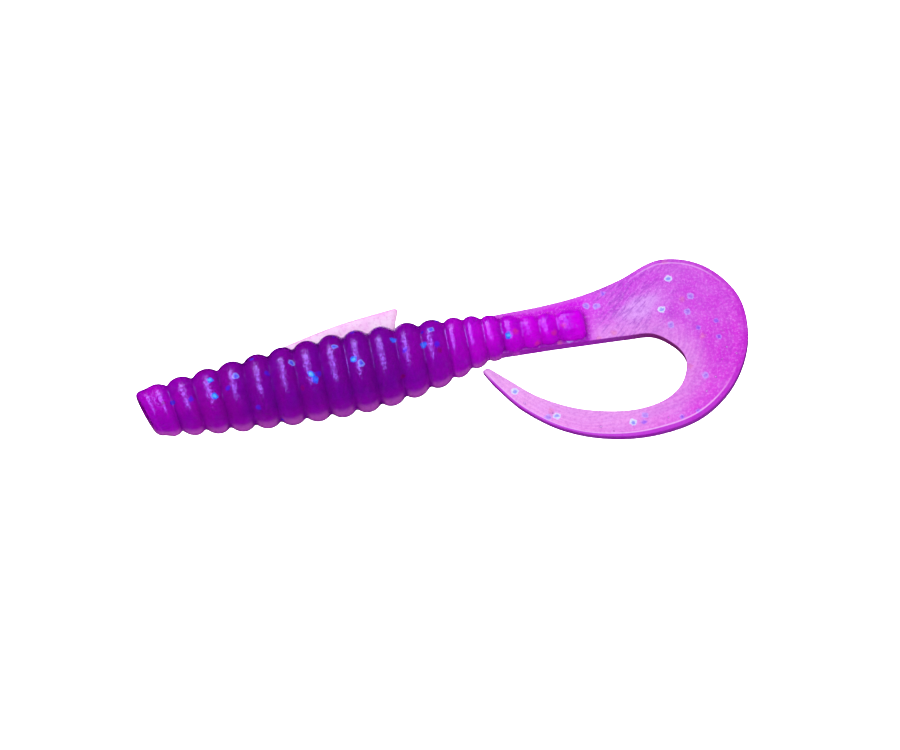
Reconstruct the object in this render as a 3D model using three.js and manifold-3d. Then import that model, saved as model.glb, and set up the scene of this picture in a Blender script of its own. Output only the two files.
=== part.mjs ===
// A ribbed soft plastic worm (a curly-tailed grub) lying on its side, 75 mm long.
//
// The real lure is one moulding that bends in its grooves and along its thin tail. Here each zone
// that keeps its own shape is a solid of its own, and the lure bends in the gaps between them.
//
// The worm is drawn in its mould's frame: x runs along the body from the nose to the tail, y lies in
// the mould's parting plane from the belly to the back, and z is square to that plane. The tail blade
// and the back fin lie in the parting plane, z = 0. The last lines move the origin to the middle of
// the worm's box, on the surface that the fattest ribs rest on. All lengths are in millimetres.

import * as THREE from 'three';
import { mergeVertices } from 'three/addons/utils/BufferGeometryUtils.js';
import Module from 'manifold-3d';

// Driving dimensions.
const GAP = 0.3; // between neighbouring solids
const NOSE_START = 0.95; // where the flat nose face crosses the axis
const NOSE_END = 4.3;
const NOSE_FACE_RADIUS = 2.3;
const NOSE_SHOULDER = { length: 0.9, height: 0.7 };
const NOSE_CROWN_X = 3.1;
const RIB_LENGTHS = [...Array(10).fill(3.13), 3.0, 2.4, 2.2, 2.2, 2.4, 2.2, 2.2, 3.4];
const GROOVE_SHARE = 0.25; // depth of a groove over the length of its ribs
const LEAN_AT_START = 0.4; // the nose leans back, and the first grooves lean less and less
const LEAN_FADE = 4.6;
const FIRST_WEBBED_RIB = 15; // from here on the tail's plate runs through the ribs
const WEB_SET_BACK = 0.1; // of the plate's ends from a webbed rib's own
const BEND_RELIEF = THREE.MathUtils.degToRad(5); // on each side of a groove that bends
const BENDING_GROOVES = [1, 3, 5, 7, 9, 11, 13, 15]; // the number of the rib in front of each
const BLADE_THICKNESS = 1.4;
const TIP_THICKNESS = 1.0;
const FIN_THICKNESS = 0.9;
const FIN_TOP = [[20.6, 5.65], [26.2, 6.75], [33.5, 7.45]]; // its upper edge, from front to rear
const FIN_REAR_FOOT_X = 32.6;
const FIN_SPLIT_GROOVE = 7;

// [x, the centre's offset towards the back, the crown radius] along the body.
const BODY_STATIONS = [
  [0.9, 0.1, 3.0], [3.2, 0.12, 3.4], [12.2, 0, 4.4], [24.6, 0, 5.15], [31, 0, 4.95],
  [37, 0.3, 4.1], [41.9, 0.78, 3.1], [44.3, 0.8, 2.75], [49, 0.4, 2.35], [55, 0.15, 2.25],
];

// Points across the tail plate and blade, from the root to the tip: [outer edge, inner edge].
const BLADE_STATIONS = [
  [[45.4, 3.5], [45.4, -1.8]], [[51, 3.45], [51, -2.1]], [[56, 3.8], [56, -2.45]],
  [[60.6, 4.75], [60, -2.75]], [[66, 6.3], [63.3, -3.15]], [[71.1, 4.4], [65.5, -4.9]],
  [[74.5, -0.2], [66.6, -6.8]], [[74.6, -6.2], [66.5, -8.6]], [[71.8, -11.7], [65.3, -10.7]],
  [[67, -15.1], [63, -12.1]], [[61, -16.05], [59.6, -12.55]], [[55.2, -15.15], [55.8, -11.95]],
  [[50.2, -12.9], [51.8, -10.5]], [[46.2, -9.5], [48, -8.1]], [[43.6, -5.9], [45, -5.2]],
  [[42.35, -3.6], [43.1, -3.3]],
];
const BLADE_START = 2; // the station at the end of the last rib
const TIP_START = 13; // the tip runs from here to the last station
const TIP_REACH = 0.35; // the tip's round end beyond the last station

// Mesh fineness.
const SIDES = 20;
const CROWN_STEPS = 6;
const SHOULDER_STEPS = 3;
const BLADE_STEPS = 4;

const COLOURS = {
  nose: '#b400c4',
  frontRib: '#8d00b0',
  middleRib: '#6f0090',
  rearRib: '#b400c4',
  blade: '#cf45dc',
  fin: '#f3b5ec',
};
const ROUGHNESS = 0.28;

const manifold = await Module();
manifold.setup();

/** A smooth value at x through rows of [x, value, ...], read from the given column. */
function smoothAt(rows, column, x) {
  const slope = (i) => {
    const before = rows[Math.max(i - 1, 0)];
    const after = rows[Math.min(i + 1, rows.length - 1)];
    return (after[column] - before[column]) / (after[0] - before[0]);
  };
  const place = rows.findIndex((row) => row[0] > x);
  const i = THREE.MathUtils.clamp(place < 0 ? rows.length - 2 : place - 1, 0, rows.length - 2);
  const length = rows[i + 1][0] - rows[i][0];
  const t = THREE.MathUtils.clamp((x - rows[i][0]) / length, 0, 1);
  const rise = t * t * (3 - 2 * t);
  return rows[i][column] * (1 - rise) + rows[i + 1][column] * rise
    + t * (1 - t) * length * (slope(i) * (1 - t) - slope(i + 1) * t);
}

const centreAt = (x) => smoothAt(BODY_STATIONS, 1, x);
const crownAt = (x) => smoothAt(BODY_STATIONS, 2, x);
const leanAt = (x) => LEAN_AT_START * Math.exp(-x / LEAN_FADE);

// Groove n is behind rib n, and groove 0 is behind the nose.
const grooves = RIB_LENGTHS.reduce((found, length) => [...found, found.at(-1) + length], [NOSE_END]);

/** The body's radius at the bottom of a groove. */
function grooveRadius(n) {
  const ahead = RIB_LENGTHS[Math.max(n - 1, 0)];
  const behind = RIB_LENGTHS[Math.min(n, RIB_LENGTHS.length - 1)];
  return crownAt(grooves[n]) - GROOVE_SHARE * (ahead + behind) / 2;
}

/** How far a solid's end stands back from a groove's middle, at a distance from the axis. */
function standBack(groove, distance) {
  return GAP / 2 + (BENDING_GROOVES.includes(groove) ? distance * Math.tan(BEND_RELIEF) : 0);
}

/**
 * The rib's radius at x: a circular arc from groove to groove over the rib's middle. The last rib
 * keeps its full height behind the middle, and ends in a step.
 */
function ribRadius(rib, x) {
  const [start, end] = [grooves[rib - 1], grooves[rib]];
  const half = (end - start) / 2;
  const across = (x - start) / (end - start);
  const floor = THREE.MathUtils.lerp(grooveRadius(rib - 1), grooveRadius(rib), across);
  const rise = crownAt(start + half) - (grooveRadius(rib - 1) + grooveRadius(rib)) / 2;
  const arc = (half * half + rise * rise) / (2 * rise);
  const off = rib === RIB_LENGTHS.length ? Math.min(x - start - half, 0) : x - start - half;
  return floor + Math.sqrt(arc * arc - off * off) - (arc - rise);
}

/** Turns a profile of [x, radius] round the body's axis, then leans it and sets it on the centre. */
function turned(profile) {
  const geometry = new THREE.LatheGeometry(profile.map(([x, r]) => new THREE.Vector2(r, x)), SIDES);
  geometry.rotateZ(-Math.PI / 2);
  const place = geometry.attributes.position;
  for (let i = 0; i < place.count; i += 1) {
    const [x, y] = [place.getX(i), place.getY(i)];
    place.setX(i, x - leanAt(x) * y);
    place.setY(i, y + centreAt(x));
  }
  return geometry;
}

function ribGeometry(rib) {
  const start = grooves[rib - 1] + standBack(rib - 1, grooveRadius(rib - 1));
  const end = grooves[rib] - standBack(rib, grooveRadius(rib));
  const profile = [[grooves[rib - 1] + GAP / 2, 0]];
  for (let i = 0; i <= CROWN_STEPS; i += 1) {
    const x = THREE.MathUtils.lerp(start, end, i / CROWN_STEPS);
    profile.push([x, ribRadius(rib, x)]);
  }
  profile.push([grooves[rib] - GAP / 2, 0]);
  return turned(profile);
}

function noseGeometry() {
  const profile = [[NOSE_START, 0]];
  const quarter = (i) => (i / SHOULDER_STEPS) * Math.PI / 2;
  for (let i = 0; i <= SHOULDER_STEPS; i += 1) {
    const x = NOSE_START + NOSE_SHOULDER.length * (1 - Math.cos(quarter(i)));
    profile.push([x, NOSE_FACE_RADIUS + NOSE_SHOULDER.height * Math.sin(quarter(i))]);
  }
  const end = NOSE_END - GAP / 2;
  const crown = crownAt(NOSE_CROWN_X);
  const drop = crown - grooveRadius(0);
  for (let i = 0; i <= SHOULDER_STEPS; i += 1) {
    const x = NOSE_CROWN_X + (end - NOSE_CROWN_X) * Math.sin(quarter(i));
    profile.push([x, crown - drop * (1 - Math.cos(quarter(i)))]);
  }
  profile.push([end, 0]);
  return turned(profile);
}

/** A point on the blade's outer edge (side 0) or inner edge (side 1), at or between stations. */
function bladeEdge(side, station) {
  const [xs, ys] = [0, 1].map((axis) => BLADE_STATIONS.map((pair, i) => [i, pair[side][axis]]));
  return new THREE.Vector2(smoothAt(xs, 1, station), smoothAt(ys, 1, station));
}

/** The two ends of a cut across the blade, moved half a gap along the blade: onwards or back. */
function bladeCut(station, way) {
  const [outer, inner] = [bladeEdge(0, station), bladeEdge(1, station)];
  const across = inner.clone().sub(outer).normalize();
  const shift = new THREE.Vector2(-across.y, across.x).multiplyScalar(way * GAP / 2);
  return [outer.add(shift), inner.add(shift)];
}

/** A flat solid in the parting plane, from its outline. */
function flatGeometry(outline, thickness) {
  const shape = new THREE.Shape(outline);
  const geometry = new THREE.ExtrudeGeometry(shape, { depth: thickness, bevelEnabled: false });
  geometry.translate(0, 0, -thickness / 2);
  return geometry;
}

function bladeThickness(station) {
  return THREE.MathUtils.lerp(BLADE_THICKNESS, TIP_THICKNESS, station / (BLADE_STATIONS.length - 1));
}

/** The part of the blade between two stations. The tip ends in a point between its two edges. */
function bladeGeometry(from, to) {
  const isTip = to === BLADE_STATIONS.length - 1;
  const steps = BLADE_STEPS * (isTip ? 2 : 1);
  const [outerStart, innerStart] = bladeCut(from, 1);
  const [outerEnd, innerEnd] = isTip ? [bladeEdge(0, to), bladeEdge(1, to)] : bladeCut(to, -1);
  const outer = [outerStart];
  const inner = [innerStart];
  for (let i = 1; i < steps; i += 1) {
    const station = THREE.MathUtils.lerp(from, to, i / steps);
    outer.push(bladeEdge(0, station));
    inner.push(bladeEdge(1, station));
  }
  outer.push(outerEnd);
  inner.push(innerEnd);
  if (isTip) {
    const middle = outerEnd.clone().add(innerEnd).multiplyScalar(0.5);
    const before = bladeEdge(0, to - 1).add(bladeEdge(1, to - 1)).multiplyScalar(0.5);
    outer.push(middle.clone().add(middle.clone().sub(before).setLength(TIP_REACH)));
  }
  return flatGeometry([...outer, ...inner.reverse()], bladeThickness((from + to) / 2));
}

/** The tail plate's slice that a webbed rib stands on. */
function webGeometry(rib) {
  const start = grooves[rib - 1] + GAP / 2 + WEB_SET_BACK;
  const end = grooves[rib] - GAP / 2 - WEB_SET_BACK;
  const [first, second] = [BLADE_STATIONS[0][0][0], BLADE_STATIONS[1][0][0]];
  const edge = (side, x) => new THREE.Vector2(x, bladeEdge(side, (x - first) / (second - first)).y);
  const outline = [edge(0, start), edge(0, end), edge(1, end), edge(1, start)];
  return flatGeometry(outline, BLADE_THICKNESS);
}

function toSolid(geometry) {
  const bare = new THREE.BufferGeometry();
  bare.setAttribute('position', geometry.attributes.position.clone());
  bare.setIndex(geometry.index ? geometry.index.clone() : null);
  const merged = mergeVertices(bare, 1e-4);
  const corners = [...merged.index.array];
  const triVerts = [];
  for (let i = 0; i < corners.length; i += 3) {
    const [a, b, c] = corners.slice(i, i + 3);
    if (a !== b && b !== c && c !== a) triVerts.push(a, b, c);
  }
  return new manifold.Manifold(new manifold.Mesh({
    numProp: 3,
    vertProperties: new Float32Array(merged.attributes.position.array),
    triVerts: new Uint32Array(triVerts),
  }));
}

function toGeometry(solid) {
  const mesh = solid.getMesh();
  const geometry = new THREE.BufferGeometry();
  geometry.setAttribute('position', new THREE.BufferAttribute(mesh.vertProperties, 3));
  geometry.setIndex(new THREE.BufferAttribute(mesh.triVerts, 1));
  return geometry;
}

function webbedRibGeometry(rib) {
  return toGeometry(toSolid(ribGeometry(rib)).add(toSolid(webGeometry(rib))));
}

/** The fin's foot, just clear of the ribs' crowns. */
const finFoot = (x) => centreAt(x) + crownAt(x) + GAP;

function finTopAt(x) {
  const [[x0, y0], [x1, y1]] = x < FIN_TOP[1][0] ? FIN_TOP.slice(0, 2) : FIN_TOP.slice(1);
  return y0 + (y1 - y0) * (x - x0) / (x1 - x0);
}

/** A point of the fin's edge beside the groove that splits it. The gap widens away from the axis. */
function finSplitPoint(way, heightAt) {
  const groove = grooves[FIN_SPLIT_GROOVE];
  const height = heightAt(groove);
  return new THREE.Vector2(groove + way * standBack(FIN_SPLIT_GROOVE, height), height);
}

function finGeometry(isFront) {
  const [[frontX], , [rearX, rearY]] = FIN_TOP;
  const outline = isFront
    ? [
      new THREE.Vector2(frontX, finFoot(frontX)),
      finSplitPoint(-1, finFoot),
      finSplitPoint(-1, finTopAt),
      new THREE.Vector2(frontX, finTopAt(frontX)),
    ]
    : [
      finSplitPoint(1, finFoot),
      new THREE.Vector2(FIN_REAR_FOOT_X, finFoot(FIN_REAR_FOOT_X)),
      new THREE.Vector2(rearX, rearY),
      finSplitPoint(1, finTopAt),
    ];
  return flatGeometry(outline, FIN_THICKNESS);
}

function ribColour(rib) {
  if (rib >= 11) return COLOURS.rearRib;
  return rib <= 3 ? COLOURS.frontRib : COLOURS.middleRib;
}

const worm = new THREE.Group();

function addMesh(name, geometry, colour) {
  const material = new THREE.MeshStandardMaterial({ color: colour, roughness: ROUGHNESS, metalness: 0 });
  const mesh = new THREE.Mesh(geometry, material);
  mesh.name = name;
  worm.add(mesh);
}

const numbered = (name, n) => `${name}_${String(n).padStart(2, '0')}`;

addMesh('nose', noseGeometry(), COLOURS.nose);
for (let rib = 1; rib <= RIB_LENGTHS.length; rib += 1) {
  const geometry = rib < FIRST_WEBBED_RIB ? ribGeometry(rib) : webbedRibGeometry(rib);
  addMesh(numbered('rib', rib), geometry, ribColour(rib));
}
addMesh('back_fin_front', finGeometry(true), COLOURS.fin);
addMesh('back_fin_rear', finGeometry(false), COLOURS.fin);
for (let station = BLADE_START; station < TIP_START; station += 1) {
  const name = numbered('tail_blade', station - BLADE_START + 1);
  addMesh(name, bladeGeometry(station, station + 1), COLOURS.blade);
}
addMesh('tail_tip', bladeGeometry(TIP_START, BLADE_STATIONS.length - 1), COLOURS.blade);

// The origin: the middle of the worm's box, on the surface that its fattest rib rests on.
const box = new THREE.Box3().setFromObject(worm);
const middle = box.getCenter(new THREE.Vector3());
worm.position.set(-middle.x, -middle.y, -box.min.z);

const part = new THREE.Group();
part.add(worm);
export default part;
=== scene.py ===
"""The looks of a ribbed soft plastic worm: translucent purple vinyl with glitter in it.

Each CAD zone of the worm is replaced by smooth skins, one for each joint, so every seam lies in the
middle of a body. Shapes are drawn in the mould's frame, in millimetres: x from the nose to the tail,
y from the belly to the back, z out of the parting plane.
"""

import math

import bmesh
import bpy
from mathutils import Matrix, Vector, noise


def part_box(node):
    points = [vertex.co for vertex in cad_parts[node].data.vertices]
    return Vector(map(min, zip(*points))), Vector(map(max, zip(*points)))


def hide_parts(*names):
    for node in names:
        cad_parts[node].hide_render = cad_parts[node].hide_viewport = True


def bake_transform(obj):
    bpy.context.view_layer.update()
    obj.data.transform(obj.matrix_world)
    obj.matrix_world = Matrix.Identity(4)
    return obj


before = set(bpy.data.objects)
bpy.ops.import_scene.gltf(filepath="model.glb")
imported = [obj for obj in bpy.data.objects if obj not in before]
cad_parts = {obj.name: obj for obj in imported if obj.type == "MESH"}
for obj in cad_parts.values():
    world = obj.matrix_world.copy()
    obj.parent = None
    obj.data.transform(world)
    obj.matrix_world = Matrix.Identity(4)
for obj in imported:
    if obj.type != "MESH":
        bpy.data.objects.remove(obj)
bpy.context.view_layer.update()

MM = 0.001

# ---- The worm's dimensions: those of the CAD part, with its outline drawn a little closer ----
NOSE_START = 0.78
NOSE_END = 4.3
NOSE_FACE_RADIUS = 2.25
SHOULDER_LENGTH = 1.05
SHOULDER_HEIGHT = 0.78
NOSE_CROWN_X = 3.1
RIB_LENGTHS = [3.13] * 10 + [3.0, 2.4, 2.2, 2.2, 2.4, 2.2, 2.2, 3.4]
GROOVE_SHARE = 0.25
FIRST_WEBBED_RIB = 15
WEBBED_GROOVE_SHARE = 0.16  # the ribs on the tail's plate are shallower to look at
LEAN_AT_START = 0.4
LEAN_FADE = 4.6
BODY_STATIONS = [  # x, the centre's offset towards the back, the crown radius
    (0.9, 0.1, 3.0), (3.2, 0.12, 3.4), (12.2, 0, 4.4), (24.6, 0, 5.15), (31, 0, 4.95),
    (37, 0.33, 4.23), (41.9, 0.83, 3.28), (44.3, 0.85, 2.85), (49, 0.42, 2.38), (55, 0.15, 2.25),
]
BLADE_STATIONS = [  # points across the tail, from its root to its tip: outer edge, inner edge
    ((45.4, 3.5), (45.4, -1.8)), ((51, 3.45), (51, -2.1)), ((56, 3.8), (56, -2.45)),
    ((60.6, 4.78), (60, -2.75)), ((66, 6.45), (63.3, -3.15)), ((71.1, 4.6), (65.5, -4.9)),
    ((74.5, -0.2), (66.6, -6.8)), ((74.58, -6.1), (66.5, -8.6)), ((71.75, -11.6), (65.3, -10.7)),
    ((67, -15.1), (63, -12.1)), ((61, -16.05), (59.6, -12.55)), ((55.2, -15.15), (55.8, -11.95)),
    ((50.2, -12.9), (51.8, -10.5)), ((46.2, -9.5), (48, -8.1)), ((43.6, -5.9), (45, -5.2)),
    ((42.35, -3.6), (43.1, -3.3)),
]
BLADE_THICKNESS = 1.4
TIP_THICKNESS = 1.0
TIP_REACH = 0.35
FIN_FRONT = 20.6  # the front end of the CAD fin
FIN_HEIGHT = 7.45  # the rear end of its upper edge
FIN_REAR_FOOT_X = 32.6
BELLY_LEVEL = -3.0  # in front of the plate, what lies lower than this is the tail's end

# ---- What the skins add to them ----
GROOVE_FILLET = 0.25  # half the width of the rounding at the bottom of a groove
STEP_FILLET = 0.8  # at the rear edge of the last rib
WOBBLE = 0.035  # how far the moulding strays from a true round
WOBBLE_ALONG = 0.45  # how quickly it strays, along the body and around it
WOBBLE_AROUND = 1.6
FACE_RINGS = (0.3, 0.6, 0.85)  # rings on the nose's face, as shares of its radius
SHOULDER_STEPS = 8
NOSE_STEPS = 16
RIB_STEPS = 18
SIDES = 96
PLATE_LEAD = 1.0  # how far the tail's plate starts in front of its first station
RIM_WIDTH = 0.62  # the sloping rim along the blade's outer edge
TIP_RIM_WIDTH = 0.28  # the same rim on the tail's last stretch
RIM_NARROWS_FROM = 9.7  # the station where it starts to narrow
RIM_NARROWS_OVER = 1.8
RIM_SECTION = [  # shares of the rim's width and of half the thickness, from the edge inwards
    (0, 0), (0, 0.4), (0, 0.68), (0.05, 0.79), (0.14, 0.84), (0.5, 0.92), (0.92, 0.99), (1, 1),
]
RIM_SPREAD = 0.12  # how far the rim reaches past the CAD blade's outer edge
EDGE_CHAMFER = 0.06
BLADE_STEPS = 12  # for each station
FACE_STEPS = 9  # across the blade's flat face
TIP_STEPS = 6
EDGE_SAMPLE_START = -0.2  # in stations, for the search for the nearest point of an edge
EDGE_SAMPLE_STEP = 0.02
EDGE_SAMPLE_STRIDE = 8
BEND_REACH = 1.2  # how far a groove's bend spreads on each side of it
BLADE_BEND_REACH = 3.0  # the same in the tail, where the skin leaves room for it
FIN_EDGE = [(17.4, 4.95), (20, 5.6), (26, 6.78), (33.5, 7.5)]  # its upper edge, drawn finer
FIN_BASE_THICKNESS = 0.8
FIN_EDGE_THICKNESS = 0.5
FIN_CORNER = 0.5
FIN_SINK = 1.3  # how deep its foot is sunk into the ribs
FIN_SLANT_START = 30.0  # from here on, its columns lean towards the slant of its rear end
FIN_SLANT_LENGTH = 3.5
FIN_SLANT_REACH = 1.3  # the slant goes on below the ribs' crown, by this share of the height
FIN_REAR_SLOPE = 0.4
FIN_STEP = 0.25
FIN_ROWS = 12
BACKLIT_SIDE_TURN = math.radians(65)  # the side where the ribs get painted light, as if the pale floor shone through their thin lower edges, turned from -z towards the belly
SHARP_ANGLE = math.radians(38)  # edges that turn by more than this stay sharp
CAMERA_ELEVATION = math.radians(65)
CAMERA_TILT = math.radians(11.5)
CAMERA_AIM = (38.19, -2.87)  # the point of the mould's frame in the middle of the picture
PICTURE_WIDTH = 109.8
FLOOR_DROP = 0.045  # in metres, so that the tail can swing down and still clear the floor
VINYL_SHADE = 0.225  # how dark the vinyl is for its looks, under lights this strong

TAIL_STATION = len(BLADE_STATIONS) - 1
BODY_JOINT_GROOVES = [1, 3, 5, 7, 9, 11, 13, 15]
FIRST_MAGENTA_RIB = 11
PLATE_FRONT = BLADE_STATIONS[0][0][0] - PLATE_LEAD
FIN_END = FIN_EDGE[-1][0]

# The fin's corners tie the mould's frame to the CAD model's.
fin_low, fin_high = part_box("back_fin_front")
ORIGIN = Vector((
    fin_low.x - FIN_FRONT * MM,
    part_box("back_fin_rear")[1].y - FIN_HEIGHT * MM,
    (fin_low.z + fin_high.z) / 2,
))


def place(x, y, z=0.0):
    """A point of the mould's frame, in the CAD model's frame."""
    return ORIGIN + Vector((x, y, z)) * MM


def lerp(a, b, t):
    return a + (b - a) * t


def clamp(value, low=0.0, high=1.0):
    return max(low, min(high, value))


def smooth_at(rows, column, x):
    """A smooth value at x through rows of (x, value, ...), read from the given column."""

    def slope(i):
        before = rows[max(i - 1, 0)]
        after = rows[min(i + 1, len(rows) - 1)]
        return (after[column] - before[column]) / (after[0] - before[0])

    i = 0
    while i < len(rows) - 2 and rows[i + 1][0] <= x:
        i += 1
    length = rows[i + 1][0] - rows[i][0]
    t = clamp((x - rows[i][0]) / length)
    rise = t * t * (3 - 2 * t)
    bend = t * (1 - t) * length * (slope(i) * (1 - t) - slope(i + 1) * t)
    return lerp(rows[i][column], rows[i + 1][column], rise) + bend


def centre_at(x):
    return smooth_at(BODY_STATIONS, 1, x)


def crown_at(x):
    return smooth_at(BODY_STATIONS, 2, x)


def lean_at(x):
    return LEAN_AT_START * math.exp(-x / LEAN_FADE)


# Groove n is behind rib n, and groove 0 is behind the nose.
GROOVES = [NOSE_END]
for rib_length in RIB_LENGTHS:
    GROOVES.append(GROOVES[-1] + rib_length)


def groove_radius(n):
    ahead = RIB_LENGTHS[max(n - 1, 0)]
    behind = RIB_LENGTHS[min(n, len(RIB_LENGTHS) - 1)]
    share = GROOVE_SHARE if n < FIRST_WEBBED_RIB else WEBBED_GROOVE_SHARE
    return crown_at(GROOVES[n]) - share * (ahead + behind) / 2


def rib_arc(rib, x):
    """The rib's radius at x: a circular arc from groove to groove. The last rib ends in a step."""
    start, end = GROOVES[rib - 1], GROOVES[rib]
    half = (end - start) / 2
    floor = lerp(groove_radius(rib - 1), groove_radius(rib), (x - start) / (end - start))
    rise = crown_at(start + half) - (groove_radius(rib - 1) + groove_radius(rib)) / 2
    arc = (half * half + rise * rise) / (2 * rise)
    off = x - start - half
    if rib == len(RIB_LENGTHS):
        off = min(off, 0)
    return floor + math.sqrt(arc * arc - off * off) - (arc - rise)


def nose_arc(x):
    """The nose's radius at x, behind its rounded shoulder."""
    crown = crown_at(NOSE_CROWN_X)
    shoulder_end = NOSE_START + SHOULDER_LENGTH
    if x < NOSE_CROWN_X:
        top = NOSE_FACE_RADIUS + SHOULDER_HEIGHT
        return lerp(top, crown, (x - shoulder_end) / (NOSE_CROWN_X - shoulder_end))
    across = (x - NOSE_CROWN_X) / (NOSE_END - NOSE_CROWN_X)
    return crown - (crown - groove_radius(0)) * (1 - math.sqrt(1 - 0.98 * across * across))


def rounded(arc, groove, way, x):
    """The arc's radius at x, eased into the rounding at the bottom of a groove beside it."""
    edge = groove + way * GROOVE_FILLET
    slope = (arc(edge + way * 0.01) - arc(edge - way * 0.01)) / 0.02
    reach = abs(x - groove) / GROOVE_FILLET
    if reach >= 1:
        return arc(x)
    return arc(edge) - slope * GROOVE_FILLET / 2 * (1 - reach * reach)


def body_profile():
    """Rings of (x, radius) from the nose's face to the end of the last rib."""
    rings = []
    quarter = math.pi / 2
    for i in range(SHOULDER_STEPS + 1):
        turn = quarter * i / SHOULDER_STEPS
        x = NOSE_START + SHOULDER_LENGTH * (1 - math.cos(turn))
        rings.append((x, NOSE_FACE_RADIUS + SHOULDER_HEIGHT * math.sin(turn)))
    behind_shoulder = NOSE_START + SHOULDER_LENGTH
    for i in range(1, NOSE_STEPS + 1):
        x = lerp(behind_shoulder, NOSE_END, math.sin(quarter * i / NOSE_STEPS))
        rings.append((x, rounded(nose_arc, NOSE_END, -1, x)))
    last = len(RIB_LENGTHS)
    for rib in range(1, last + 1):
        start, end = GROOVES[rib - 1], GROOVES[rib]
        for i in range(1, RIB_STEPS + 1):
            x = lerp(start, end, (1 - math.cos(math.pi * i / RIB_STEPS)) / 2)
            if x < (start + end) / 2:
                radius = rounded(lambda at: rib_arc(rib, at), start, 1, x)
            elif rib < last:
                radius = rounded(lambda at: rib_arc(rib, at), end, -1, x)
            else:
                inset = clamp(1 - (end - x) / STEP_FILLET)
                radius = rib_arc(rib, x) - STEP_FILLET * (1 - math.sqrt(1 - inset * inset))
            rings.append((x, radius))
    return rings


def body_point(x, radius, angle):
    """A point on the body. The angle turns from the back (+y) towards +z."""
    around = Vector((math.cos(angle), math.sin(angle)))
    spot = Vector((x * WOBBLE_ALONG, around.x * WOBBLE_AROUND, around.y * WOBBLE_AROUND))
    radius += noise.noise(spot) * WOBBLE * min(radius, 1)
    across = radius * around.x
    return Vector((x - lean_at(x) * across, centre_at(x) + across, radius * around.y))


def loft(mesh, loops):
    """Adds a closed tube through loops of points, each end closed round its middle."""
    rows = [[mesh.verts.new(point) for point in loop] for loop in loops]
    count = len(loops[0])
    for before, after in zip(rows, rows[1:]):
        for i in range(count):
            j = (i + 1) % count
            mesh.faces.new((before[i], before[j], after[j], after[i]))
    for row, loop, turned in ((rows[0], loops[0], True), (rows[-1], loops[-1], False)):
        middle = mesh.verts.new(sum(loop, Vector()) / count)
        for i in range(count):
            j = (i + 1) % count
            corners = (row[i], row[j], middle)
            mesh.faces.new(corners[::-1] if turned else corners)


def body_solid(from_x, to_x):
    """The ribbed body between two grooves, as a closed tube."""
    mesh = bmesh.new()
    loops = []
    if from_x <= NOSE_START:
        for share in FACE_RINGS:
            loops.append([
                body_point(NOSE_START, NOSE_FACE_RADIUS * share, 2 * math.pi * i / SIDES)
                for i in range(SIDES)
            ])
    for x, radius in PROFILE:
        if from_x - 1e-6 <= x <= to_x + 1e-6:
            loops.append([body_point(x, radius, 2 * math.pi * i / SIDES) for i in range(SIDES)])
    loft(mesh, loops)
    return mesh


PROFILE = body_profile()


# ---- The tail ----
def blade_edge(side, station):
    """A point of the outer edge (side 0) or the inner edge (side 1)."""
    rows = [(i, *pair[side]) for i, pair in enumerate(BLADE_STATIONS)]
    ahead = min(station, 0) * (BLADE_STATIONS[1][0][0] - BLADE_STATIONS[0][0][0])
    return Vector((smooth_at(rows, 1, station) + ahead, smooth_at(rows, 2, station)))


def blade_ends(station):
    """The outer and inner ends of the blade's section, with the rim's spread."""
    outer, inner = blade_edge(0, station), blade_edge(1, station)
    return outer + (outer - inner).normalized() * RIM_SPREAD, inner


def rim_width(station):
    """The rim's width, which narrows on the way to the tip."""
    return lerp(RIM_WIDTH, TIP_RIM_WIDTH, clamp((station - RIM_NARROWS_FROM) / RIM_NARROWS_OVER))


def blade_loop(outer, inner, thickness, rim):
    """Points round the blade's section between two edge points: a rolled rim and a square wall."""
    width = (inner - outer).length
    across = (inner - outer) / width
    half = thickness / 2
    rim = min(rim, width * 0.4)
    top = [(rim * reach, half * height) for reach, height in RIM_SECTION]
    chamfer = min(EDGE_CHAMFER, width * 0.1)
    for i in range(1, FACE_STEPS + 1):
        top.append((lerp(rim, width - chamfer, i / FACE_STEPS), half))
    top.append((width, half - chamfer))
    section = top + [(width, 0.0)] + [(reach, -height) for reach, height in reversed(top[1:])]
    return [Vector((*(outer + across * reach), height)) for reach, height in section]


def blade_thickness(station):
    return lerp(BLADE_THICKNESS, TIP_THICKNESS, clamp(station / TAIL_STATION))


def blade_solid(from_station, to_station):
    """The blade between two stations, as a closed tube. After the last one comes the round tip."""
    mesh = bmesh.new()
    steps = max(2, round((to_station - from_station) * BLADE_STEPS))
    loops = []
    for i in range(steps + 1):
        station = lerp(from_station, to_station, i / steps)
        thickness = blade_thickness(station)
        loops.append(blade_loop(*blade_ends(station), thickness, rim_width(station)))
    if to_station == TAIL_STATION:
        outer, inner = blade_ends(to_station)
        middle = (outer + inner) / 2
        before = (blade_edge(0, to_station - 0.2) + blade_edge(1, to_station - 0.2)) / 2
        ahead = (middle - before).normalized() * TIP_REACH
        for i in range(1, TIP_STEPS + 1):
            turn = math.pi / 2 * i / (TIP_STEPS + 0.5)
            shrink = math.cos(turn)
            tip_outer = middle + (outer - middle) * shrink + ahead * math.sin(turn)
            tip_inner = middle + (inner - middle) * shrink + ahead * math.sin(turn)
            thickness = TIP_THICKNESS * lerp(0.55, 1, shrink)
            loops.append(blade_loop(tip_outer, tip_inner, thickness, TIP_RIM_WIDTH))
    loft(mesh, loops)
    return mesh


# ---- The fin ----
def fin_top_at(x):
    """The height of the fin's upper edge, with its rear corner rounded."""
    corner = clamp((x - (FIN_END - FIN_CORNER)) / FIN_CORNER)
    return smooth_at(FIN_EDGE, 1, x) - FIN_CORNER * (1 - math.sqrt(1 - min(corner, 0.98) ** 2))


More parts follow.
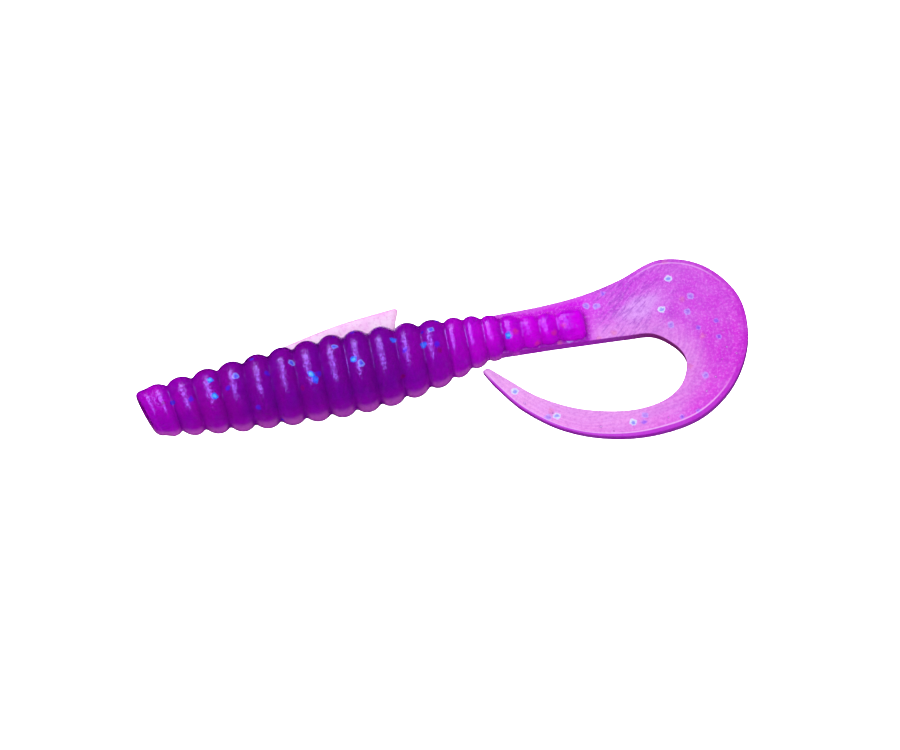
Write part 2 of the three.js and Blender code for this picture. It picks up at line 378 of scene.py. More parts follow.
def fin_solid(from_x, to_x):
    """The fin between two places along the body. Its foot is sunk into the ribs."""
    mesh = bmesh.new()
    columns = round((to_x - from_x) / FIN_STEP)
    loops = []
    for i in range(columns + 1):
        x = lerp(from_x, to_x, i / columns)
        crown = centre_at(x) + crown_at(x)
        foot = crown - FIN_SINK
        top = fin_top_at(x)
        lag = (FIN_END - FIN_REAR_FOOT_X) * clamp((x - FIN_SLANT_START) / FIN_SLANT_LENGTH)
        side = []
        for k in range(FIN_ROWS + 1):
            share = math.sin(math.pi / 2 * k / FIN_ROWS)
            height = lerp(foot, top, share)
            slant = lag * clamp((top - height) / (top - crown), 0, FIN_SLANT_REACH)
            half = lerp(FIN_BASE_THICKNESS, FIN_EDGE_THICKNESS, share) / 2
            thin = half * math.sqrt(max(1 - (share ** 6) ** 2, 0.02))
            side.append((x - slant, height, thin))
        front = [Vector((px, py, pz)) for px, py, pz in side]
        rear = [Vector((px, py, -pz)) for px, py, pz in reversed(side)]
        loops.append(front + rear)
    loft(mesh, loops)
    return mesh


# ---- Attributes that the materials read ----
EDGE_SAMPLE_COUNT = int((TAIL_STATION - EDGE_SAMPLE_START) / EDGE_SAMPLE_STEP) + 1
EDGE_SAMPLES = [
    [blade_ends(EDGE_SAMPLE_START + EDGE_SAMPLE_STEP * i)[side] for i in range(EDGE_SAMPLE_COUNT)]
    for side in (0, 1)
]
FAR_FROM_WALL = 9.0  # for points that lie nowhere near the tail's edges
NO_STATION = -1.0
BACKLIT_SIDE = Vector((0, -math.sin(BACKLIT_SIDE_TURN), -math.cos(BACKLIT_SIDE_TURN)))


def edge_distance(side, x, y):
    """The distance to one of the blade's edges, and the station of the nearest point."""
    samples = EDGE_SAMPLES[side]
    best, place_found = math.inf, 0
    for i in range(0, len(samples), EDGE_SAMPLE_STRIDE):
        gap = (samples[i].x - x) ** 2 + (samples[i].y - y) ** 2
        if gap < best:
            best, place_found = gap, i
    best = math.inf
    first = max(place_found - EDGE_SAMPLE_STRIDE, 0)
    last = min(place_found + EDGE_SAMPLE_STRIDE, len(samples) - 1)
    for i in range(first, last):
        start, way = samples[i], samples[i + 1] - samples[i]
        off_x, off_y = x - start.x, y - start.y
        t = clamp((off_x * way.x + off_y * way.y) / way.length_squared)
        gap = (off_x - way.x * t) ** 2 + (off_y - way.y * t) ** 2
        if gap < best:
            best, place_found = gap, i + t
    return math.sqrt(best), EDGE_SAMPLE_START + EDGE_SAMPLE_STEP * place_found


def rib_depth(x, y, z):
    """How deep a point lies in its groove: 0 on a crown, 1 at the bottom of a groove."""
    along = x + lean_at(x) * (y - centre_at(x))
    distance = math.hypot(y - centre_at(along), z)
    if along < NOSE_CROWN_X:
        return 0.0
    rib = 1
    while rib < len(RIB_LENGTHS) and GROOVES[rib] < along:
        rib += 1
    drop = GROOVE_SHARE * RIB_LENGTHS[rib - 1]
    return clamp((crown_at(along) - distance) / drop)


def paint(data):
    """Stores for each point its place in the mould and what its zone of the moulding looks like."""
    coordinates = [(vertex.co - ORIGIN) / MM for vertex in data.vertices]
    depths, unders, rims, walls, stations = [], [], [], [], []
    for point in coordinates:
        depths.append(rib_depth(*point))
        # how far a point faces the side where the body's material paints light on the ribs
        radial = Vector((0, point.y - centre_at(point.x), point.z))
        unders.append(radial.normalized().dot(BACKLIT_SIDE) if radial.length > 1e-6 else 0.0)
        if point.x < PLATE_FRONT and point.y > BELLY_LEVEL:
            below_top = fin_top_at(clamp(point.x, FIN_EDGE[0][0], FIN_END)) - point.y
            before_rear = FIN_END - point.x - FIN_REAR_SLOPE * (FIN_HEIGHT - point.y)
            rims.append(min(below_top, before_rear))
            walls.append(FAR_FROM_WALL)
            stations.append(NO_STATION)
            continue
        rim, outer_station = edge_distance(0, point.x, point.y)
        wall, inner_station = edge_distance(1, point.x, point.y)
        station = lerp(outer_station, inner_station, rim / max(rim + wall, 1e-6))
        rims.append(rim * RIM_WIDTH / rim_width(station))
        walls.append(wall)
        stations.append(station)
    mould = data.attributes.new("mould", "FLOAT_VECTOR", "POINT")
    mould.data.foreach_set("vector", [value for point in coordinates for value in point])
    for name, values in (
        ("depth", depths), ("under", unders), ("rim", rims), ("wall", walls), ("station", stations),
    ):
        data.attributes.new(name, "FLOAT", "POINT").data.foreach_set("value", values)


def joined(first, second):
    """The union of two closed meshes."""
    objects = []
    for mesh in (first, second):
        data = bpy.data.meshes.new("part_of_union")
        mesh.to_mesh(data)
        mesh.free()
        part = bpy.data.objects.new("part_of_union", data)
        bpy.context.scene.collection.objects.link(part)
        objects.append(part)
    union = objects[0].modifiers.new("union", "BOOLEAN")
    union.operation = "UNION"
    union.solver = "EXACT"
    union.object = objects[1]
    evaluated = objects[0].evaluated_get(bpy.context.evaluated_depsgraph_get())
    result = bmesh.new()
    result.from_mesh(evaluated.to_mesh())
    evaluated.to_mesh_clear()
    for part in objects:
        data = part.data
        bpy.data.objects.remove(part)
        bpy.data.meshes.remove(data)
    return result


def piece(name, mesh, materials, slot, nodes, bodies, start, end):
    """Makes an object of a mesh drawn in the mould's frame, and hides the CAD parts it replaces."""
    bmesh.ops.recalc_face_normals(mesh, faces=mesh.faces)
    data = bpy.data.meshes.new(name)
    for vertex in mesh.verts:
        vertex.co = place(*vertex.co)
    for face in mesh.faces:
        face.smooth = True
    mesh.to_mesh(data)
    mesh.free()
    data.set_sharp_from_angle(angle=SHARP_ANGLE)
    for material in materials:
        data.materials.append(material)
    paint(data)
    made = bpy.data.objects.new(name, data)
    bpy.context.scene.collection.objects.link(made)
    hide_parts(*nodes)
    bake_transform(made)
    return made


# ---- Materials ----
# The flakes that show most. On the body: x, and the angle from the back towards +z in degrees.
SPARKLING_FLAKES = [(9.5, 75), (9.6, 107), (21.7, 105), (27.1, 96), (46.1, 113)]
RINGED_FLAKES = [(12.6, 80), (19.6, 78), (25.1, 70), (27.9, 104), (37, 70)]
BLUE_FLAKES = [(22.1, 114), (32.2, 73), (35.8, 94)]
VIOLET_FLAKES = [
    (6.7, 103), (11.4, 98), (14.5, 139), (16.4, 87), (22.6, 106), (27.6, 43), (33.4, 97),
    (37.4, 100),
]
RED_FLAKES = [(20.4, 122), (32.6, 138), (37.6, 111), (3.2, 99)]
ORANGE_FLAKES = [(47.1, 104), (51.7, 124), (49.4, 149), (53, 104), (51.4, 35)]
# On the tail: x and y.
TAIL_BRIGHT_FLAKES = [(66.7, 3.7), (65.1, -0.2), (45.5, -7), (49.9, -11.3), (58.8, -14.2)]
TAIL_PALE_FLAKES = [
    (56.2, 2.3), (57.4, 2), (68.1, -1.2), (65.8, -2.5), (68.9, 0.8), (48.8, -11.3), (68.6, -10),
    (60.4, -13.6), (53.4, -1.8),
]
TAIL_VIOLET_FLAKES = [
    (58.5, 3.5), (69, -3.5), (71.3, -3.1), (71.2, -5.3), (66.9, -14.5), (64.7, -14.8), (60.1, -14.5),
]
TAIL_RED_FLAKES = [
    (67.8, 0.6), (69.3, -4.8), (67, -8.4), (58.8, -2), (56.9, -2.4), (66.7, 6.1),
    (49.3, -10.5), (52.1, -1.9),
]
TAIL_BUBBLES = [
    (71.8, -4.6), (71.9, -6.9), (71, -8.3), (69.7, -10.5), (68.3, -12.1), (63.1, -14.5),
    (56.3, -14.8), (54.9, -13.9), (46.4, -8.8), (49.5, -10.9), (72.9, -8),
]


class Shader:
    """A material's node tree, built by short calls that return sockets."""

    def __init__(self, name):
        self.material = bpy.data.materials.new(name)
        self.material.use_nodes = True
        self.tree = self.material.node_tree
        self.surface = self.tree.nodes["Principled BSDF"]

    def node(self, kind, output=0, settings=None, **inputs):
        made = self.tree.nodes.new(kind)
        for key, value in (settings or {}).items():
            setattr(made, key, value)
        for key, value in inputs.items():
            self.feed(made.inputs[key.replace("_", " ")], value)
        return made.outputs[output]

    def feed(self, socket, value):
        if isinstance(value, bpy.types.NodeSocket):
            self.tree.links.new(value, socket)
        else:
            socket.default_value = value

    def attribute(self, name, output="Fac"):
        made = self.tree.nodes.new("ShaderNodeAttribute")
        made.attribute_name = name
        return made.outputs[output]

    def math(self, operation, *values):
        made = self.tree.nodes.new("ShaderNodeMath")
        made.operation = operation
        for socket, value in zip(made.inputs, values):
            self.feed(socket, value)
        return made.outputs[0]

    def band(self, value, low, high, to_low=0.0, to_high=1.0):
        """A smooth step from to_low to to_high while the value goes from low to high."""
        made = self.tree.nodes.new("ShaderNodeMapRange")
        made.interpolation_type = "SMOOTHSTEP"
        for socket, number in zip(made.inputs, (value, low, high, to_low, to_high)):
            self.feed(socket, number)
        return made.outputs[0]

    def mix(self, factor, first, second, blend="MIX"):
        made = self.tree.nodes.new("ShaderNodeMix")
        made.data_type = "RGBA"
        made.blend_type = blend
        self.feed(made.inputs["Factor"], factor)
        self.feed(made.inputs[6], first)
        self.feed(made.inputs[7], second)
        return made.outputs[2]

    def ramp(self, value, stops):
        """A colour ramp through stops of (position, colour)."""
        made = self.tree.nodes.new("ShaderNodeValToRGB")
        made.color_ramp.interpolation = "EASE"
        elements = made.color_ramp.elements
        while len(elements) < len(stops):
            elements.new(0.5)
        for element, (position, colour) in zip(elements, stops):
            element.position = position
            element.color = colour
        self.feed(made.inputs[0], value)
        return made.outputs[0]

    def noise(self, vector, scale, detail=2.0, roughness=0.5):
        return self.node(
            "ShaderNodeTexNoise", Vector=vector, Scale=scale, Detail=detail, Roughness=roughness,
        )

    def scaled(self, vector, factors):
        made = self.tree.nodes.new("ShaderNodeVectorMath")
        made.operation = "MULTIPLY"
        self.feed(made.inputs[0], vector)
        made.inputs[1].default_value = factors
        return made.outputs[0]


def colour(text, strength=VINYL_SHADE):
    """A linear colour from its usual six digits, as dark as it is before the lights reach it."""
    parts = [int(text[i:i + 2], 16) / 255 for i in (0, 2, 4)]
    linear = [c / 12.92 if c <= 0.04045 else ((c + 0.055) / 1.055) ** 2.4 for c in parts]
    return (*[c * strength for c in linear], 1.0)


def flakes(shader, mould, base, cell, share, radius, core, ring):
    """Round glitter flakes at scattered places in the vinyl, seen where they come near its skin."""
    cells = shader.tree.nodes.new("ShaderNodeTexVoronoi")
    cells.voronoi_dimensions = "3D"
    cells.feature = "F1"
    cells.inputs["Scale"].default_value = 1 / cell
    cells.inputs["Randomness"].default_value = 0.9
    shader.tree.links.new(mould, cells.inputs["Vector"])
    split = shader.tree.nodes.new("ShaderNodeSeparateColor")
    shader.tree.links.new(cells.outputs["Color"], split.inputs[0])
    distance = shader.math("MULTIPLY", cells.outputs["Distance"], cell)
    chosen = shader.math("LESS_THAN", split.outputs[0], share)
    disc = shader.math("MULTIPLY", shader.band(distance, radius * 0.85, radius, 1.0, 0.0), chosen)
    inside = shader.band(distance, radius * 0.35, radius * 0.6)
    paler = shader.mix(split.outputs[1], ring, core)
    return shader.mix(disc, base, shader.mix(inside, core, paler))


def placed_flakes(shader, mould, base, places, radius, core, ring, strength=1.0):
    """Round flakes at given places of the mould's frame."""
    nearest = None
    for spot in places:
        distance = shader.tree.nodes.new("ShaderNodeVectorMath")
        distance.operation = "DISTANCE"
        shader.feed(distance.inputs[0], mould)
        distance.inputs[1].default_value = spot
        distance = distance.outputs["Value"]
        nearest = distance if nearest is None else shader.math("MINIMUM", nearest, distance)
    ragged = shader.noise(mould, 2.6, 2.0)
    nearest = shader.math("ADD", nearest, shader.band(ragged, 0.3, 0.7, -0.09, 0.09))
    inside = shader.band(nearest, radius * 0.3, radius * 0.75)
    disc = shader.band(nearest, radius * 0.75, radius * 1.15, strength, 0.0)
    return shader.mix(disc, base, shader.mix(inside, core, ring))


def on_body(x, degrees):
    """A point of the body's skin."""
    ring = min(PROFILE, key=lambda found: abs(found[0] - x))
    return body_point(x, ring[1], math.radians(degrees))


def finish_vinyl(shader, base, height, bump, roughness, scatter, scatter_radius, tint):
    surface = shader.surface
    surface.inputs["Specular Tint"].default_value = (*tint, 1.0)
    shader.feed(surface.inputs["Base Color"], base)
    surface.inputs["Subsurface Weight"].default_value = scatter
    surface.inputs["Subsurface Radius"].default_value = scatter_radius
    surface.inputs["Subsurface Scale"].default_value = MM
    surface.inputs["IOR"].default_value = 1.54
    shader.feed(surface.inputs["Roughness"], roughness)
    shader.feed(
        surface.inputs["Normal"],
        shader.node("ShaderNodeBump", Height=height, Distance=bump, Strength=1.0),
    )


def body_vinyl():
    shader = Shader("purple_body_vinyl")
    mould = shader.attribute("mould", "Vector")
    axes = shader.tree.nodes.new("ShaderNodeSeparateXYZ")
    shader.tree.links.new(mould, axes.inputs[0])
    depth = shader.attribute("depth")
    under = shader.attribute("under")
    along = shader.math("DIVIDE", axes.outputs[0], 60.0)
    base = shader.ramp(along, [
        (0.03, colour("b000c6")), (0.12, colour("9600aa")), (0.25, colour("7e009a")),
        (0.5, colour("78009a")), (0.6, colour("9000ae")), (0.72, colour("c800e0")),
        (0.93, colour("d800f0")),
    ])
    clouds = shader.noise(shader.scaled(mould, (0.5, 0.25, 0.25)), 1.0, 3.0)
    base = shader.mix(shader.band(clouds, 0.35, 0.7, 0.0, 0.3), base, colour("6800b4"))
    # Painted shade: darker towards the bottom of each groove.
    base = shader.mix(shader.band(depth, 0.45, 1.0, 0.0, 0.35), base, colour("600098"))
    # Painted light: the ribs are painted brighter towards their lower side, and paler still on the
    # lower edges of their crowns, as if the pale floor shone through the thin vinyl there.
    base = shader.mix(shader.band(under, 0.5, 0.75, 0.0, 0.25), base, colour("b000c8"))
    backlit_cap = shader.math(
        "MULTIPLY", shader.band(under, 0.75, 0.91), shader.band(depth, 0.3, 0.8, 1.0, 0.0)
    )
    # Painted light: the last ribs are painted brighter in the corner beside the tail's plate, against
    # the shade that falls there.
    corner_glow = shader.math(
        "MULTIPLY", shader.band(axes.outputs[0], 44.5, 47.0),
        shader.band(shader.math("ABSOLUTE", axes.outputs[2]), 0.8, 2.0, 0.6, 0.0),
    )
    corner_glow = shader.math("MULTIPLY", corner_glow, shader.band(axes.outputs[1], 0.0, 1.2))
    base = shader.mix(corner_glow, base, colour("f838ff"))
    base = shader.mix(shader.math("MULTIPLY", backlit_cap, 0.58), base, colour("d060cc"))
    base = flakes(shader, mould, base, 2.1, 0.15, 0.36, colour("4a10e0"), colour("6040f0"))
    for places, radius, core, ring, strength in (
        (RED_FLAKES, 0.34, colour("880050"), colour("980080"), 0.6),
        (ORANGE_FLAKES, 0.4, colour("e83070"), colour("d828a8"), 0.5),
        (VIOLET_FLAKES, 0.38, colour("3820ff"), colour("5c18e8"), 0.7),
        (BLUE_FLAKES, 0.44, colour("3070ff", 0.26), colour("2c50ff", 0.26), 0.9),
        (RINGED_FLAKES, 0.44, colour("4c50f8", 0.24), colour("7c88ff", 0.24), 0.9),
        (SPARKLING_FLAKES, 0.44, colour("50a8ff", 0.27), colour("2c60ff", 0.27), 1.0),
    ):
        spots = [on_body(x, angle) for x, angle in places]
        base = placed_flakes(shader, mould, base, spots, radius, core, ring, strength)
    grain = shader.noise(mould, 1.9, 3.0, 0.6)
    scuffs = shader.noise(shader.scaled(mould, (1.2, 0.5, 0.5)), 1.0, 2.0, 0.5)
    height = shader.math("ADD", grain, shader.math("MULTIPLY", scuffs, 0.5))
    roughness = shader.band(grain, 0.4, 0.62, 0.08, 0.2)
    dull = shader.noise(mould, 2.8, 2.0, 0.8)
    shine = shader.math(
        "MULTIPLY", shader.band(dull, 0.42, 0.58, 0.2, 1.0),
        shader.band(axes.outputs[0], 44.0, 48.0, 1.0, 0.6),
    )
    shader.feed(shader.surface.inputs["Specular IOR Level"], shine)
    finish_vinyl(shader, base, height, 0.00007, roughness, 0.6, (1.6, 0.5, 2.0), (0.32, 0.17, 1.0))
    return shader.material


def tail_vinyl():
    shader = Shader("pink_tail_vinyl")
    mould = shader.attribute("mould", "Vector")
    axes = shader.tree.nodes.new("ShaderNodeSeparateXYZ")
    shader.tree.links.new(mould, axes.inputs[0])
    station = shader.math("DIVIDE", shader.attribute("station"), 15.0)
    rim = shader.attribute("rim")
    wall = shader.attribute("wall")
    face = shader.ramp(station, [
        (0.0, colour("d62ee4")), (0.13, colour("d62ee4")), (0.19, colour("ca34dc")),
        (0.34, colour("d038dc")), (0.46, colour("d418d8")), (0.58, colour("dc2cdc")),
        (0.72, colour("e880e0")), (0.95, colour("f0a0e2")),
    ])
    clouds = shader.noise(shader.scaled(mould, (0.35, 0.35, 0.35)), 1.0, 4.0, 0.6)
    face = shader.mix(shader.band(clouds, 0.4, 0.75, 0.0, 0.3), face, colour("e890f0"))
    beyond_ribs = shader.band(station, 0.125, 0.15)
    ribbed = shader.band(station, 0.12, 0.14, 1.0, 0.0)
    beside_ribs = shader.math("MULTIPLY", shader.band(rim, 0.15, 0.9), ribbed)
    face = shader.mix(beside_ribs, face, colour("d400ea"))
    below_ribs = shader.math("MULTIPLY", shader.band(wall, 0.6, 1.8, 1.0, 0.0), ribbed)
    face = shader.mix(below_ribs, face, colour("9c00b8"))
    near_wall = shader.math("MULTIPLY", shader.band(wall, 0.0, 4.0, 0.55, 0.0), beyond_ribs)
    face = shader.mix(near_wall, face, colour("e4a0e4"))
    # Painted reflection: a pale lilac patch in the middle of the blade's face, where the key light's
    # sheen shows.
    middle = shader.node(
        "ShaderNodeMapping", settings={"vector_type": "TEXTURE"}, Vector=mould,
        Location=(63.0, 0.6, 0.0), Rotation=(0.0, 0.0, math.radians(25)), Scale=(4.3, 2.3, 3.0),
    )
    sheen_patch = shader.node("ShaderNodeVectorMath", output=1, settings={"operation": "LENGTH"})
    shader.feed(sheen_patch.node.inputs[0], middle)
    sheen_patch = shader.math("ADD", sheen_patch, shader.band(clouds, 0.3, 0.7, -0.25, 0.25))
    face = shader.mix(shader.band(sheen_patch, 0.2, 1.2, 0.7, 0.0), face, colour("dca6f4"))
    turned = shader.node(
        "ShaderNodeMapping", settings={"vector_type": "TEXTURE"},
        Vector=mould, Rotation=(0.0, 0.0, math.radians(40)), Scale=(1.8, 0.4, 1.0),
    )
    wrinkles = shader.noise(turned, 1.0, 3.0, 0.6)
    brushed = shader.math(
        "MULTIPLY", shader.band(station, 0.13, 0.16), shader.band(station, 0.2, 0.34, 1.0, 0.1)
    )
    scratched = shader.math("MULTIPLY", shader.band(wrinkles, 0.48, 0.6, 0.0, 0.45), brushed)
    face = shader.mix(scratched, face, colour("8c18b8"))
    face = flakes(shader, mould, face, 1.7, 0.22, 0.13, colour("a020a8"), colour("b040b8"))
    flat = shader.scaled(mould, (1.0, 1.0, 0.0))
    for places, radius, core, ring, strength in (
        (TAIL_RED_FLAKES, 0.4, colour("e07090"), colour("d858a8"), 0.45),
        (TAIL_VIOLET_FLAKES, 0.36, colour("7838f0"), colour("b070f0"), 0.8),
        (TAIL_PALE_FLAKES, 0.44, colour("8c78f0"), colour("b8a0fc"), 0.75),
        (TAIL_BRIGHT_FLAKES, 0.46, colour("6c94f0", 0.26), colour("c8dcff", 0.26), 0.9),
        # the bubbles: a painted highlight at the centre, in a ring of painted shade
        (TAIL_BUBBLES, 0.13, colour("e0a0f0"), colour("600070"), 0.8),
    ):
        spots = [(x, y, 0.0) for x, y in places]
        face = placed_flakes(shader, flat, face, spots, radius, core, ring, strength)
    speckle = shader.noise(mould, 3.0, 2.0, 0.8)
    face = shader.mix(shader.band(speckle, 0.36, 0.5, 0.2, 0.0), face, colour("8800a8"))
    face = shader.mix(shader.band(speckle, 0.5, 0.66, 0.0, 0.2), face, colour("f0b8ff"))
    arcs = shader.node(
        "ShaderNodeCombineXYZ",
        X=shader.math("MULTIPLY", station, 12.0), Y=shader.math("MULTIPLY", rim, 2.4),
    )
    arcs = shader.band(shader.noise(arcs, 1.0, 1.0), 0.4, 0.6, 0.0, 0.16)
    arcs = shader.math("MULTIPLY", arcs, shader.band(station, 0.2, 0.3))
    face = shader.mix(arcs, face, colour("9810c0"))
    # Painted highlight: a pale line along the crease between the rim and the flat face, on the bend
    # and on the lower arm.
    crease_highlight = shader.math(
        "MULTIPLY", shader.band(rim, RIM_WIDTH - 0.1, RIM_WIDTH),
        shader.band(rim, RIM_WIDTH + 0.05, RIM_WIDTH + 0.2, 1.0, 0.0),
    )
    on_bend = shader.math(
        "MULTIPLY", shader.band(station, 0.2, 0.25, 0.0, 0.4),
        shader.band(station, 0.33, 0.38, 1.0, 0.0),
    )
    shows = shader.math("ADD", shader.band(station, 0.5, 0.58, 0.0, 0.6), on_bend)
    face = shader.mix(shader.math("MULTIPLY", crease_highlight, shows), face, colour("f0c0f8"))
    sloping = shader.band(rim, RIM_WIDTH - 0.15, RIM_WIDTH, 1.0, 0.0)
    sloping = shader.math("MULTIPLY", sloping, shader.band(station, 0.46, 0.66, 0.35, 0.95))
    sloping = shader.math("MULTIPLY", sloping, shader.band(station, 0.95, 0.99, 1.0, 0.3))
    face = shader.mix(sloping, face, colour("b808cc"))
    face = shader.mix(shader.band(rim, 0.03, 0.12, 1.0, 0.0), face, colour("9c04b4"))
    edge = shader.band(wall, 0.02, 0.09, 1.0, 0.0)
    wall_shade = shader.mix(shader.band(station, 0.14, 0.28), colour("a400bc"), colour("88107e"))
    low_edge = shader.mix(shader.band(station, 0.14, 0.28), colour("a400bc"), colour("d860c8"))
    wall_colour = shader.mix(shader.band(axes.outputs[2], -0.6, -0.4), low_edge, wall_shade)
    base = shader.mix(edge, face, wall_colour)
    grain = shader.noise(mould, 6.0, 3.0, 0.6)
    height = shader.math("MULTIPLY", wrinkles, brushed)
    height = shader.math("ADD", height, shader.math("MULTIPLY", grain, 0.35))
    roughness = shader.band(clouds, 0.3, 0.7, 0.28, 0.44)
    shine = shader.band(beside_ribs, 0.0, 1.0, 0.3, 0.06)
    shader.feed(shader.surface.inputs["Specular IOR Level"], shine)
    finish_vinyl(shader, base, height, 0.0001, roughness, 0.0, (1.2, 0.5, 1.4), (0.6, 0.35, 1.0))
    return shader.material


def fin_vinyl():
    shader = Shader("clear_fin_vinyl")
    mould = shader.attribute("mould", "Vector")
    clouds = shader.noise(shader.scaled(mould, (0.5, 0.5, 0.5)), 1.0, 4.0, 0.6)
    rim = shader.attribute("rim")
    base = shader.mix(shader.band(clouds, 0.3, 0.7), colour("fce0fa", 0.27), colour("f8bcf2", 0.27))
    base = shader.mix(shader.band(rim, 0.15, 0.5, 0.5, 0.0), base, colour("f0a0dc", 0.27))
    specks = shader.noise(mould, 2.4, 2.0, 0.8)
    base = shader.mix(shader.band(specks, 0.5, 0.64, 0.0, 0.6), base, colour("e488d8", 0.27))
    base = flakes(shader, mould, base, 0.8, 0.5, 0.17, colour("f8d8f4", 0.27), colour("b040a8", 0.27))
    grain = shader.noise(mould, 5.0, 3.0, 0.6)
    finish_vinyl(shader, base, grain, 0.00006, 0.3, 0.6, (1.2, 0.6, 1.2), (0.8, 0.6, 1.0))
    shader.surface.inputs["Transmission Weight"].default_value = 0.35
    return shader.material


def floor_paint():
    shader = Shader("pale_floor")
    spot = shader.noise(shader.node("ShaderNodeTexCoord", output=3), 6.0, 3.0)
    base = shader.mix(spot, (0.9, 0.9, 0.9, 1), (0.93, 0.93, 0.93, 1))
    shader.feed(shader.surface.inputs["Base Color"], base)
    shader.surface.inputs["Roughness"].default_value = 0.9
    shader.surface.inputs["Specular IOR Level"].default_value = 0.1
    return shader.material


body_material = body_vinyl()
tail_material = tail_vinyl()
fin_material = fin_vinyl()


# ---- The pieces ----
def rib_names(first, last):
    return [f"rib_{rib:02d}" for rib in range(first, last + 1)]


BODY_NAMES = ["head"] + [f"ribs_{n:02d}_{n + 1:02d}" for n in range(2, 15, 2)] + ["ribs_16_18"]


def groove_bend(groove, reach=BEND_REACH):
    """Where a groove's bend starts and ends, on the body's axis."""
    x = GROOVES[groove]
    return place(x - reach, centre_at(x)), place(x + reach, centre_at(x))


def add_body_skins():
    for i, groove in enumerate(BODY_JOINT_GROOVES):
        from_x = 0.0 if i == 0 else GROOVES[groove - 1]
        to_x = GROOVES[groove + 1]
        mesh = body_solid(from_x, to_x)
        materials = [body_material]
        if to_x > PLATE_FRONT:
            first_x = BLADE_STATIONS[0][0][0]
            span = BLADE_STATIONS[1][0][0] - first_x
            from_station = max(from_x - first_x, -PLATE_LEAD) / span
            plate = blade_solid(from_station, (to_x - first_x) / span)
            for face in plate.faces:
                face.material_index = 1
            mesh = joined(mesh, plate)
            materials.append(tail_material)
        magenta = groove >= FIRST_MAGENTA_RIB
        slot = "bright_magenta_soft_plastic" if magenta else "deep_purple_soft_plastic"
        nodes = rib_names(groove, groove + 1)
        if groove == 1:
            nodes.append("nose")
        piece(
            f"body_skin_{i + 1:02d}", mesh, materials, slot, nodes,
            (BODY_NAMES[i], BODY_NAMES[i + 1]), *groove_bend(groove),
        )


def blade_bend(station):
    """Where the bend at a station starts and ends. It stays inside the skin made for it."""
    outer, inner = blade_edge(0, station), blade_edge(1, station)
    across = (inner - outer).normalized()
    ahead = Vector((-across.y, across.x))
    middle = (outer + inner) / 2
    reach = min(
        abs((blade_edge(side, station + way) - middle).dot(ahead))
        for side in (0, 1) for way in (-0.5, 0.5)
    ) * 0.9
    reach = min(reach, BLADE_BEND_REACH)
    return place(*(middle - ahead * reach)), place(*(middle + ahead * reach))


def add_tail_skins():
    first_x = BLADE_STATIONS[0][0][0]
    span = BLADE_STATIONS[1][0][0] - first_x
    plate = blade_solid((GROOVES[16] - first_x) / span, 2.5)
    for face in plate.faces:
        face.material_index = 1
    stem = joined(body_solid(GROOVES[16], GROOVES[18]), plate)
    piece(
        "tail_root_skin", stem, [body_material, tail_material], "bright_magenta_soft_plastic",
        rib_names(17, 18), ("ribs_16_18", "tail_blade_01"), *blade_bend(2),
    )
    for station in range(3, 14):
        end = TAIL_STATION if station == 13 else station + 0.5
        bodies = (
            f"tail_blade_{station - 2:02d}",
            "tail_tip" if station == 13 else f"tail_blade_{station - 1:02d}",
        )
        nodes = [bodies[0]] + (["tail_tip"] if station == 13 else [])
        piece(
            f"tail_skin_{station - 2:02d}", blade_solid(station - 0.5, end), [tail_material],
            "pink_tail_soft_plastic", nodes, bodies, *blade_bend(station),
        )


def add_fin_skins():
    middle = GROOVES[6]
    piece(
        "fin_skin_front", fin_solid(FIN_EDGE[0][0], middle), [fin_material], "clear_pink_soft_plastic",
        ["back_fin_front"], ("ribs_04_05", "ribs_06_07"), *groove_bend(5),
    )
    piece(
        "fin_skin_rear", fin_solid(middle, FIN_END), [fin_material], "clear_pink_soft_plastic",
        ["back_fin_rear"], ("ribs_06_07", "ribs_08_09"), *groove_bend(7),
    )


add_body_skins()
add_tail_skins()
add_fin_skins()


# ---- Floor, lights and camera ----
def add_floor():
    mesh = bmesh.new()
    bmesh.ops.create_grid(mesh, x_segments=24, y_segments=24, size=1.2)
    data = bpy.data.meshes.new("floor")
    mesh.to_mesh(data)
    mesh.free()
    data.materials.append(floor_paint())
    floor = bpy.data.objects.new("floor", data)
    bpy.context.scene.collection.objects.link(floor)
    floor.visible_glossy = False
    floor.location.z = -FLOOR_DROP


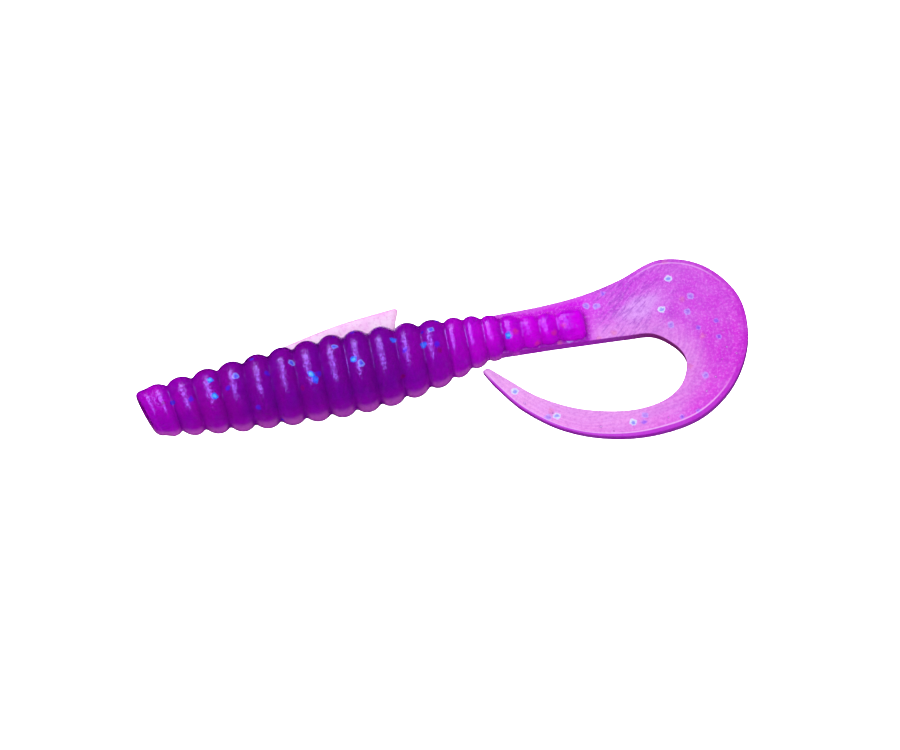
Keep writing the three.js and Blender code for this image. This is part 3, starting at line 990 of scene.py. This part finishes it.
def add_light(name, direction, distance, size, power, reflected=True):
    """A soft rectangular light that faces the worm from a direction."""
    data = bpy.data.lights.new(name, "AREA")
    data.shape = "RECTANGLE"
    data.size, data.size_y = size
    data.energy = power
    light = bpy.data.objects.new(name, data)
    away = Vector(direction).normalized()
    across = (Vector((1, 0, 0)) - away * away.x).normalized()
    turn = Matrix((across, away.cross(across), away)).transposed()
    light.location = away * distance
    light.rotation_mode = "QUATERNION"
    light.rotation_quaternion = turn.to_quaternion()
    light.visible_glossy = reflected
    bpy.context.scene.collection.objects.link(light)


def add_world():
    world = bpy.data.worlds.new("studio")
    world.use_nodes = True
    background = world.node_tree.nodes["Background"]
    background.inputs["Color"].default_value = (1, 1, 1, 1)
    background.inputs["Strength"].default_value = 3.0
    world.cycles_visibility.glossy = False
    bpy.context.scene.world = world


def add_camera():
    data = bpy.data.cameras.new("camera")
    data.lens = 250
    data.sensor_width = 36
    data.clip_start = 0.01
    data.clip_end = 20
    camera = bpy.data.objects.new("camera", data)
    back = Vector((0, -math.cos(CAMERA_ELEVATION), math.sin(CAMERA_ELEVATION)))
    up = Vector((0, math.sin(CAMERA_ELEVATION), math.cos(CAMERA_ELEVATION)))
    right = Vector((1, 0, 0)) * math.cos(CAMERA_TILT) - up * math.sin(CAMERA_TILT)
    above = Vector((1, 0, 0)) * math.sin(CAMERA_TILT) + up * math.cos(CAMERA_TILT)
    turn = Matrix((right, above, back)).transposed()
    camera.rotation_mode = "QUATERNION"
    camera.rotation_quaternion = turn.to_quaternion()
    distance = PICTURE_WIDTH * MM * data.lens / data.sensor_width
    camera.location = place(*CAMERA_AIM) + back * distance
    bpy.context.scene.collection.objects.link(camera)
    bpy.context.scene.camera = camera


add_floor()
add_light("key", (-0.26, 0.33, 0.91), 0.3, (0.17, 0.7), 3.2)
add_light("fill", (0.3, -0.9, 0.5), 0.5, (0.5, 0.4), 1.2, reflected=False)
add_world()
add_camera()
bpy.context.scene.view_settings.view_transform = "Standard"
